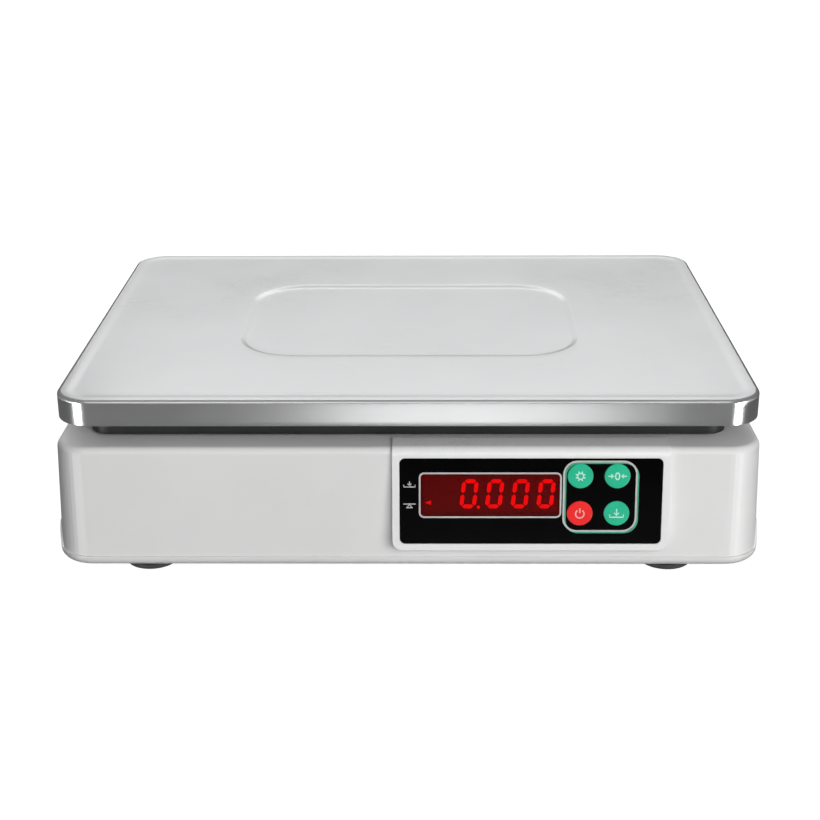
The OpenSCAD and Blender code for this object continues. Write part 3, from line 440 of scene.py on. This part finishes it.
def on_panel(points):
    """Points given as (right, up the slope, out of the face) from the middle of the panel's face, put in place."""
    points = np.asarray(points, float)
    return (panel_middle + points[..., :1] * np.array([1, 0, 0]) + points[..., 1:2] * upslope
            + points[..., 2:3] * outward)


# ---- printing on the panel -----------------------------------------------------------------------------------------
# Screen-printed ink, a few hundredths of a millimetre thick: a fine frame round the window, a heavier one round the
# keys with a green shadow, and two small signs beside the window for tare and for a steady weight.

INK_RISE, INK_SINK = 0.045, -0.03


def ribbon(path, width, closed):
    """Flat band of ink along a path of (right, up) points: at each point the band's half width is laid off square to
    the path's direction, on both sides, at the ink's underside and at its top, which makes a four-sided section."""
    path = np.asarray(path, float)
    if closed:
        along = np.roll(path, -1, 0) - np.roll(path, 1, 0)
    else:
        along = np.gradient(path, axis=0)
    along /= np.linalg.norm(along, axis=1, keepdims=True)
    side = np.stack([-along[:, 1], along[:, 0]], 1) * width / 2
    left, right_side = path + side, path - side
    low, high = np.full((len(path), 1), INK_SINK), np.full((len(path), 1), INK_RISE)
    return np.stack([
        np.hstack([left, low]), np.hstack([left, high]), np.hstack([right_side, high]), np.hstack([right_side, low])
    ], 1)


def printed(name, bands, material, body, centre=(0, 0), lift=0.0):
    """One mesh of several bands of ink, each a pair (ribbon points, closed). The bands are joined as whole arrays."""
    points, faces, start = [], [], 0
    for rows, closed in bands:
        count = len(rows)
        spans = count if closed else count - 1
        i, j = np.meshgrid(np.arange(spans), np.arange(4), indexing="ij")
        n, k = (i + 1) % count, (j + 1) % 4
        faces += (start + np.stack([i * 4 + j, i * 4 + k, n * 4 + k, n * 4 + j], -1).reshape(-1, 4)).tolist()
        if not closed:
            last = start + (count - 1) * 4
            faces += [[start + 3, start + 2, start + 1, start], [last, last + 1, last + 2, last + 3]]
        points.append(rows.reshape(-1, 3))
        start += count * 4
    placed = on_panel(np.vstack(points) + np.array([centre[0], centre[1], lift]))
    mesh = bpy.data.meshes.new(name)
    mesh.from_pydata((placed * MM).tolist(), [], faces)
    mesh.materials.append(material)
    piece = bpy.data.objects.new(name, mesh)
    bpy.context.scene.collection.objects.link(piece)
    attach(piece, body)
    return piece


def frame_line(half_w, half_h, radius, width, centre):
    """Closed band on a rounded rectangle about a centre."""
    return ribbon(ring_outline(half_w, half_h, radius, arc=10, side=6) + np.array(centre), width, True), True


def stroke_line(points, width):
    """Open band through straight pieces between points."""
    return ribbon(np.array(points, float), width, False), False


def arc_line(radius, start, end, width, centre=(0, 0), flat=1.0, steps=28):
    """Open band on an arc of an ellipse: radius times (cos, flat times sin) of an angle in degrees."""
    sine, cosine = arc_rows(start, end, steps)
    return ribbon(np.stack([centre[0] + radius * cosine, centre[1] + flat * radius * sine], 1), width, False), False


def ink(name, low, high):
    """Matt screen ink with the faint weave of the screen."""
    return finish(name, low, high, (0.45, 0.6), 6000, 2e-6, broad=300.0)


pale_ink = ink("pale_grey_ink", (0.52, 0.48, 0.49), (0.62, 0.58, 0.59))
green_ink = ink("green_ink", (0.01, 0.33, 0.17), (0.02, 0.40, 0.22))
window_low, window_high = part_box("display_window")
WINDOW_X = (window_low.x + window_high.x) / 2 / MM - panel_middle[0]
WINDOW_HALF_W = (window_high.x - window_low.x) / 2 / MM
WINDOW_Z, WINDOW_HALF_H = 3.0, 11.2
KEYS_X, KEYS_Z, KEYS_HALF_W, KEYS_HALF_H = 34.2, 2.45, 17.9, 17.9

printed("window_line", [frame_line(WINDOW_HALF_W + 0.1, WINDOW_HALF_H + 0.1, 2.2, 0.85, (WINDOW_X, WINDOW_Z))],
        pale_ink, "base")
printed("key_group_shadow", [frame_line(KEYS_HALF_W, KEYS_HALF_H, 6.6, 0.9, (KEYS_X + 0.75, KEYS_Z - 0.75))],
        green_ink, "base")
printed("key_group_line", [frame_line(KEYS_HALF_W, KEYS_HALF_H, 6.6, 0.9, (KEYS_X, KEYS_Z))],
        pale_ink, "base", lift=0.02)
SIGN_X, TARE_SIGN_Z, STEADY_SIGN_Z, SIGN_LINE = -59.9, 8.6, -2.0, 0.5
printed("tare_sign", [
    stroke_line([(-2.8, -0.2), (-2.8, -1.3), (2.8, -1.3), (2.8, -0.2)], SIGN_LINE),
    stroke_line([(0, 1.6), (0, -0.6)], SIGN_LINE), stroke_line([(-0.9, 0.4), (0, -0.6), (0.9, 0.4)], SIGN_LINE),
], pale_ink, "base", centre=(SIGN_X, TARE_SIGN_Z))
printed("steady_sign", [
    stroke_line([(-3, 0.5), (3, 0.5)], SIGN_LINE), stroke_line([(-1.3, -1.4), (0, 0.2), (1.3, -1.4)], SIGN_LINE),
    stroke_line([(-1.6, -1.4), (1.6, -1.4)], SIGN_LINE),
], pale_ink, "base", centre=(SIGN_X, STEADY_SIGN_Z))

# ---- window and lit figures ----------------------------------------------------------------------------------------
# A dark red acrylic filter, flush with the panel, over a light-emitting figure block whose strokes glow through it.

window_red = finish(
    "dark_red_filter", (0.50, 0.006, 0.006), (0.56, 0.009, 0.009), (0.05, 0.09), 700, 1e-6, broad=80.0,
    sockets={"Transmission Weight": 0.93, "IOR": 1.49, "Specular IOR Level": 0.3}
)
dress(window_red, "display_window")
dress(finish("figure_block_plastic", (0.05, 0.035, 0.035), (0.075, 0.05, 0.05), (0.5, 0.7), 900, 8e-6, broad=90.0),
      "led_module")
lit = finish("lit_stroke", (0.7, 0.02, 0.015), (0.9, 0.04, 0.03), (0.4, 0.5), 900, 4e-6, broad=500.0,
             sockets={"Emission Color": (1.0, 0.012, 0.012, 1), "Emission Strength": 1.35})
dress(lit, "led_segments")

# ---- keys ----------------------------------------------------------------------------------------------------------
# Four round caps, turned-edge mouldings with a slight crown, each with a catching flange and a stem behind the panel.
# Their signs are printed: settings, zero, power and tare.

KEY_R, KEY_PROUD, KEY_STEM_END = 6.3, 0.4, 4.7
KEY_LINE = 0.62


def key_cap(name, centre, material, body):
    """Turned shape about the key's axis: a crowned face, a quarter-round edge, the side, the flange and the stem. Each
    row is a circle of its own radius at its own height out of the panel's face."""
    sine, cosine = arc_rows(0, 90, 7)
    crown = np.linspace(0.04, 1, 7) * (KEY_R - 0.35)
    radius = np.concatenate([
        crown, (KEY_R - 0.35) + 0.35 * sine, [KEY_R, KEY_R, KEY_R + 0.8, KEY_R + 0.8, 2, 2, 1.7, 0.1]
    ])
    face = KEY_PROUD - 0.02 - 0.12 * (crown / KEY_R) ** 2
    out = np.concatenate([
        face, face[-1] - 0.35 + 0.35 * cosine, [-0.7, -1.4, -1.4, -2.2, -2.2, -KEY_STEM_END + 0.2, -KEY_STEM_END,
                                               -KEY_STEM_END]
    ])
    angle = np.linspace(0, 2 * np.pi, 72, endpoint=False)
    rows = np.stack([
        centre[0] + radius[:, None] * np.cos(angle), centre[1] + radius[:, None] * np.sin(angle),
        np.broadcast_to(out[:, None], (len(out), len(angle)))
    ], -1)
    cap = surface(name, on_panel(rows)[:, ::-1], caps=(True, True))
    cap.data.materials.append(material)
    crease(cap, 35)
    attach(cap, body)
    return cap


key_green = finish("green_key_plastic", (0.0015, 0.50, 0.27), (0.003, 0.56, 0.31), (0.30, 0.42), 3000, 3e-6,
                   broad=150.0)
key_red = finish("red_key_plastic", (0.92, 0.0015, 0.0015), (0.98, 0.003, 0.003), (0.30, 0.42), 3000, 3e-6,
                 broad=150.0)
mint_ink = ink("mint_ink", (0.50, 0.86, 0.74), (0.58, 0.92, 0.80))
pink_ink = ink("pink_ink", (0.90, 0.45, 0.45), (0.95, 0.55, 0.55))
tooth = np.radians(np.arange(8) * 45 + 22.5)
KEY_SIGNS = {
    "set": [arc_line(1.5, 0, 360, KEY_LINE)] + [
        stroke_line([(1.7 * math.cos(a), 1.7 * math.sin(a)), (2.6 * math.cos(a), 2.6 * math.sin(a))], KEY_LINE)
        for a in tooth
    ],
    "zero": [
        arc_line(1.0, 0, 360, KEY_LINE, flat=1.7), stroke_line([(-4.6, 0), (-2.0, 0)], KEY_LINE),
        stroke_line([(-3.1, 0.9), (-2.0, 0), (-3.1, -0.9)], KEY_LINE), stroke_line([(4.6, 0), (2.0, 0)], KEY_LINE),
        stroke_line([(3.1, 0.9), (2.0, 0), (3.1, -0.9)], KEY_LINE),
    ],
    "power": [arc_line(2.1, 125, 415, KEY_LINE, centre=(0, -0.2)), stroke_line([(0, 2.6), (0, 0.3)], KEY_LINE)],
    "tare": [
        stroke_line([(-3.4, -0.5), (-3.4, -1.9), (3.4, -1.9), (3.4, -0.5)], KEY_LINE),
        stroke_line([(0, 2.4), (0, -0.9)], KEY_LINE),
        stroke_line([(-1.2, 0.4), (0, -0.9), (1.2, 0.4)], KEY_LINE),
    ],
}
KEY_MIDDLE_X, KEY_MIDDLE_Z, KEY_STEP_X, KEY_STEP_Z = 33.5, 3.3, 18.2, 19.2
for number, key in enumerate(("set", "zero", "power", "tare")):
    middle = (KEY_MIDDLE_X + (number % 2 - 0.5) * KEY_STEP_X, KEY_MIDDLE_Z + (0.5 - number // 2) * KEY_STEP_Z)
    red = key == "power"
    cap = key_cap("cap_" + key, middle, key_red if red else key_green, "button_" + key)
    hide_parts("key_" + key)
    printed("sign_" + key, KEY_SIGNS[key], pink_ink if red else mint_ink, "button_" + key,
            centre=middle, lift=KEY_PROUD - 0.06)

# ---- small dark mouldings ------------------------------------------------------------------------------------------
# Black glass-filled nylon for the switches and their plungers, the parts on the boards, the power inlet and the cup of
# the round level.

dark_nylon = finish(
    "dark_nylon", (0.035, 0.035, 0.037), (0.055, 0.055, 0.058), (0.42, 0.6), 2200, 8e-6, broad=120.0, edge=0.0002
)
dress(dark_nylon, "key_switches", "board_parts", "dc_jack", "level_housing",
      "plunger_set", "plunger_zero", "plunger_power", "plunger_tare")

# ---- feet ----------------------------------------------------------------------------------------------------------
# Each foot is a rubber pad with ring grooves that stands still, and a knurled nylon wheel with an M8 stud that turns
# on the pad's pin and screws up into a brass insert.

rubber = finish("black_rubber", (0.018, 0.018, 0.018), (0.032, 0.031, 0.03), (0.6, 0.82), 3500, 2.0e-5, broad=90.0)
foot_nylon = finish("foot_nylon", (0.012, 0.012, 0.013), (0.026, 0.026, 0.027), (0.26, 0.42), 2600, 8e-6, broad=140.0)


def turned(name, radius, height, middle, columns=96):
    """Turned shape about an upright axis: row by row, a radius (one number, or one for each column) at a height."""
    angle = np.linspace(0, 2 * np.pi, columns, endpoint=False)
    radius = np.array([np.broadcast_to(r, columns) for r in radius])
    height = np.array([np.broadcast_to(h, columns) for h in height])
    rows = np.stack([middle[0] + radius * np.cos(angle), middle[1] + radius * np.sin(angle), height], -1)
    return surface(name, rows, caps=(True, True))


NOTCHES, STUD_R, THREAD_STEP, THREAD_DEPTH = 24, 3.97, 1.25, 0.42
WHEEL_COLUMNS = NOTCHES * 6
wheel_angle = np.linspace(0, 2 * np.pi, WHEEL_COLUMNS, endpoint=False)
notch = np.clip(np.cos(NOTCHES * wheel_angle), 0, 1) ** 0.8


def foot_screw_rows(low, top, wheel_top, wheel_r):
    """Radii and heights of wheel and stud. The wheel's radius drops at the notches, as a cosine of the angle, and the
    stud's follows a triangle wave of height less angle over a turn, times the pitch, which is the thread."""
    pin, flank = 2.55, notch * 0.75
    radius = [0.05, pin, pin, wheel_r - 0.9, wheel_r - 0.25 - flank * 0.8, wheel_r - flank, wheel_r - flank,
              wheel_r - 0.25 - flank * 0.8, wheel_r - 0.9, STUD_R + 0.15, STUD_R - 0.5]
    height = [low + 2.5, low + 2.5, low, low, low + 0.25, low + 0.8, wheel_top - 0.8, wheel_top - 0.25, wheel_top,
              wheel_top, wheel_top + 0.35]
    for h in np.arange(wheel_top + 0.55, top - 0.6, THREAD_STEP / 6):
        phase = (h / THREAD_STEP - wheel_angle / (2 * np.pi)) % 1
        radius.append(STUD_R - THREAD_DEPTH * (1 - np.abs(2 * phase - 1)))
        height.append(h)
    return radius + [STUD_R - 0.7, 0.05], height + [top, top]


pad_profile = [(0.05, 0.45), (2.0, 0.45), (2.3, 0)]
for groove in (4.4, 7.0, 9.6):
    pad_profile += [(groove - 0.5, 0), (groove - 0.3, 0.4), (groove + 0.3, 0.4), (groove + 0.5, 0)]
for corner in ("fl", "fr", "bl", "br"):
    low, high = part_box("foot_pad_" + corner)
    middle = ((low.x + high.x) / 2 / MM, (low.y + high.y) / 2 / MM)
    pad_r, pin_top, pad_top = (high.x - low.x) / 2 / MM, high.z / MM, 3.2
    profile = pad_profile + [
        (pad_r - 0.9, 0), (pad_r - 0.25, 0.25), (pad_r, 0.9), (pad_r, 2.5), (pad_r - 0.2, 3.0),
        (pad_r - 0.7, pad_top), (2.5, pad_top), (2.5, pin_top - 0.2), (2.3, pin_top), (0.05, pin_top)
    ]
    pad = turned("rubber_pad_" + corner, *zip(*profile), middle)
    pad.data.materials.append(rubber)
    crease(pad, 50)
    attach(pad, "foot_pad_" + corner)
    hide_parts("foot_pad_" + corner)
    low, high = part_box("foot_screw_" + corner)
    radius, height = foot_screw_rows(low.z / MM, high.z / MM, 7.7, (high.x - low.x) / 2 / MM)
    wheel = turned("foot_wheel_" + corner, radius, height, middle, columns=WHEEL_COLUMNS)
    wheel.data.materials.append(foot_nylon)
    crease(wheel, 40)
    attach(wheel, "foot_screw_" + corner)
    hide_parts("foot_screw_" + corner)

dress(finish("turned_brass", (0.62, 0.43, 0.17), (0.78, 0.56, 0.27), (0.22, 0.38), 1800, 4e-6, metallic=1.0,
             broad=200.0, stretch=(1, 1, 8)), "foot_inserts")

# ---- carrier, arm and load cell ------------------------------------------------------------------------------------
# A pressed steel carrier in black powder coat holds the pan on four rubber buttons. It is screwed to a cast aluminium
# arm on the free end of a milled aluminium load cell, whose other end stands on a block and a steel plate.

# Its black is darker than the coat alone: painted shade for the shadow in the gap under the pan.
dress(finish("black_coat_and_gap_shade", (0.008, 0.0084, 0.0084), (0.014, 0.0145, 0.0145), (0.38, 0.55), 1300, 3.0e-5,
             broad=40.0, edge=0.0004), "pan_carrier")
dress(finish("button_rubber", (0.03, 0.03, 0.03), (0.05, 0.049, 0.048), (0.65, 0.85), 3000, 1.5e-5, broad=120.0),
      "pan_pads")
dress(finish("sand_cast_aluminium", (0.46, 0.46, 0.465), (0.60, 0.60, 0.60), (0.42, 0.62), 1100, 6.0e-5,
             metallic=1.0, broad=60.0), "load_arm", "cell_spacer")
dress(finish("milled_aluminium", (0.62, 0.62, 0.63), (0.72, 0.72, 0.73), (0.24, 0.40), 1500, 6e-6, metallic=1.0,
             broad=40.0, stretch=(0.08, 1, 1), edge=0.0003), "load_cell")

# ---- boards --------------------------------------------------------------------------------------------------------
# Glass-epoxy boards under green solder resist, with the paler lines of the copper under it.


def board_green():
    """Green resist: a cell pattern's edges, narrow and pale, stand for copper under the resist."""
    board = finish("solder_resist", (0.008, 0.10, 0.045), (0.014, 0.14, 0.062), (0.25, 0.36), 1600, 5e-6, broad=70.0)
    nodes, links = board.node_tree.nodes, board.node_tree.links
    shader = nodes["Principled BSDF"]
    plain = shader.inputs["Base Color"].links[0].from_socket
    place = plain_node(nodes, "ShaderNodeTexCoord")
    cells = plain_node(nodes, "ShaderNodeTexVoronoi", feature="DISTANCE_TO_EDGE", Scale=170.0)
    links.new(place.outputs["Object"], cells.inputs["Vector"])
    line = nodes.new("ShaderNodeMapRange")
    line.inputs["From Min"].default_value, line.inputs["From Max"].default_value = 0.05, 0.09
    line.inputs["To Min"].default_value, line.inputs["To Max"].default_value = 1.0, 0.0
    links.new(cells.outputs["Distance"], line.inputs["Value"])
    both = plain_node(nodes, "ShaderNodeMix", data_type="RGBA")
    both.inputs["B"].default_value = (0.035, 0.26, 0.11, 1)
    links.new(line.outputs["Result"], both.inputs["Factor"])
    links.new(plain, both.inputs["A"])
    links.new(both.outputs["Result"], shader.inputs["Base Color"])
    return board


dress(board_green(), "main_board", "display_board")

# ---- battery and wiring --------------------------------------------------------------------------------------------
# A sealed lead-acid battery in a grey moulded case, red leads, the load cell's screened cable and a flat cable.

dress(finish("battery_case", (0.13, 0.14, 0.15), (0.18, 0.19, 0.20), (0.45, 0.62), 1500, 1.5e-5, broad=50.0,
             edge=0.0005), "battery")
dress(finish("grey_sheath", (0.22, 0.22, 0.23), (0.30, 0.30, 0.31), (0.5, 0.7), 2500, 8e-6, broad=150.0),
      "cell_cable")
dress(finish("flat_cable", (0.46, 0.46, 0.47), (0.60, 0.60, 0.61), (0.45, 0.6), 787, 3.0e-5, broad=60.0,
             stretch=(1, 0.02, 0.02)), "display_cable")
dress(finish("red_insulation", (0.42, 0.012, 0.012), (0.56, 0.02, 0.02), (0.35, 0.5), 2500, 4e-6, broad=150.0),
      "battery_leads")

# ---- round level ---------------------------------------------------------------------------------------------------
# A clear acrylic cup of green fluid with a bubble, let into the cover under the pan's back corner.

dress(finish("green_fluid", (0.30, 0.62, 0.10), (0.36, 0.70, 0.13), (0.05, 0.1), 900, 1e-6, broad=200.0,
             sockets={"Transmission Weight": 0.7, "IOR": 1.45}), "level_vial")
vial_low, vial_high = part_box("level_vial")
level_middle = ((vial_low.x + vial_high.x) / 2 / MM, (vial_low.y + vial_high.y) / 2 / MM)
vial_top = vial_high.z / MM
sine, cosine = arc_rows(4, 88, 8)
bubble = turned("level_bubble", [0.03] + list(1.9 * sine) + [1.9, 0.03],
                [vial_top + 0.45] + list(vial_top + 0.02 + 0.43 * cosine) + [vial_top - 0.02, vial_top - 0.02],
                level_middle, columns=48)
bubble.data.materials.append(finish("clear_bubble", (0.72, 0.92, 0.55), (0.80, 0.96, 0.64), (0.04, 0.08), 600, 1e-6,
                                    broad=300.0))
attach(bubble, "base")
